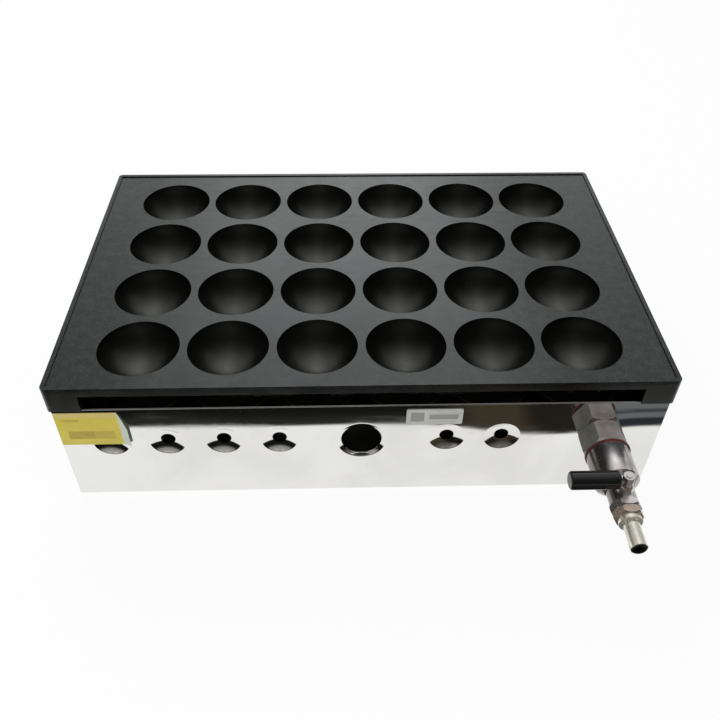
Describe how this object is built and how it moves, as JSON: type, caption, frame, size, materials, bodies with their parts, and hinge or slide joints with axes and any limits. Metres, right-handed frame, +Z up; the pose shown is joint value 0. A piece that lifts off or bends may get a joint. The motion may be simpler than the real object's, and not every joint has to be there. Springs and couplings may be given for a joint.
{
  "type": "takoyaki maker",
  "caption": "Gas-fired countertop takoyaki maker: a dark cast plate of round wells lying on a mirror-polished steel cabinet, with a small ball valve and hose nozzle at the front.",
  "frame": {"origin": "middle of the whole part's footprint, hose nozzle included, on the surface that it stands on", "axes": "+X to the right along the plate's long side, +Y from the front panel to the rear, +Z up"},
  "size_m": [0.413, 0.359, 0.112],
  "materials": {
    "plate_casting": "matte",
    "polished_steel": "polished",
    "plain_steel": "satin",
    "zinc_steel": "satin",
    "foot_rubber": "matte",
    "burner_steel": "satin",
    "brass": "satin",
    "chromed": "polished",
    "nickel": "satin",
    "red_fibre": "matte",
    "seat_plastic": "matte",
    "black_sleeve": "gloss",
    "label_plate": "satin",
    "yellow_sticker": "satin"
  },
  "bodies": {
    "cabinet": {"ball_seats": "seat_plastic", "base_pan": "plain_steel", "burner_caps_left": "burner_steel", "burner_caps_right": "burner_steel", "burner_collars": "burner_steel", "burner_manifold": "burner_steel", "burner_rail": "plain_steel", "burner_screws": "zinc_steel", "burner_tube_1": "burner_steel", "burner_tube_2": "burner_steel", "burner_tube_3": "burner_steel", "burner_tube_4": "burner_steel", "corner_post_front_left": "plain_steel", "corner_post_front_right": "plain_steel", "corner_post_rear_left": "plain_steel", "corner_post_rear_right": "plain_steel", "cross_tube_1": "burner_steel", "cross_tube_2": "burner_steel", "cross_tube_3": "burner_steel", "fibre_washer": "red_fibre", "foot_front_left": "foot_rubber", "foot_front_right": "foot_rubber", "foot_nuts": "zinc_steel", "foot_rear_left": "foot_rubber", "foot_rear_right": "foot_rubber", "foot_screws": "zinc_steel", "front_panel": "polished_steel", "gas_jet": "brass", "gland_nut": "brass", "hose_nozzle": "nickel", "inlet_pipe": "brass", "inner_locknut": "brass", "left_side_panel": "polished_steel", "manifold_bracket": "plain_steel", "mixing_tube": "burner_steel", "panel_nut": "chromed", "rating_label": "label_plate", "rear_panel": "polished_steel", "rear_panel_screws": "zinc_steel", "right_side_panel": "polished_steel", "shutter_screw": "zinc_steel", "tail_nut": "brass", "union_body": "chromed", "valve_body": "chromed", "yellow_sticker": "yellow_sticker"},
    "plate": {"baking_plate": "plate_casting"},
    "lever": {"valve_ball": "chromed", "valve_stem": "chromed", "lever_bar": "chromed", "lever_grip": "black_sleeve", "lever_nut": "chromed"},
    "shutter": {"air_shutter": "burner_steel"}
  },
  "joints": [
    {"name": "plate_lift", "type": "slide", "parent": "cabinet", "child": "plate", "axis": [0, 0, 1], "range_m": [0, 0.08]},
    {"name": "lever_turn", "type": "hinge", "parent": "cabinet", "child": "lever", "pos_m": [0.164, -0.1395, 0.0605], "axis": [0, 0, 1], "range_deg": [0, 90]},
    {"name": "shutter_turn", "type": "hinge", "parent": "cabinet", "child": "shutter", "pos_m": [0.164, -0.0545, 0.0605], "axis": [0, 1, 0], "range_deg": [0, 50]}
  ]
}
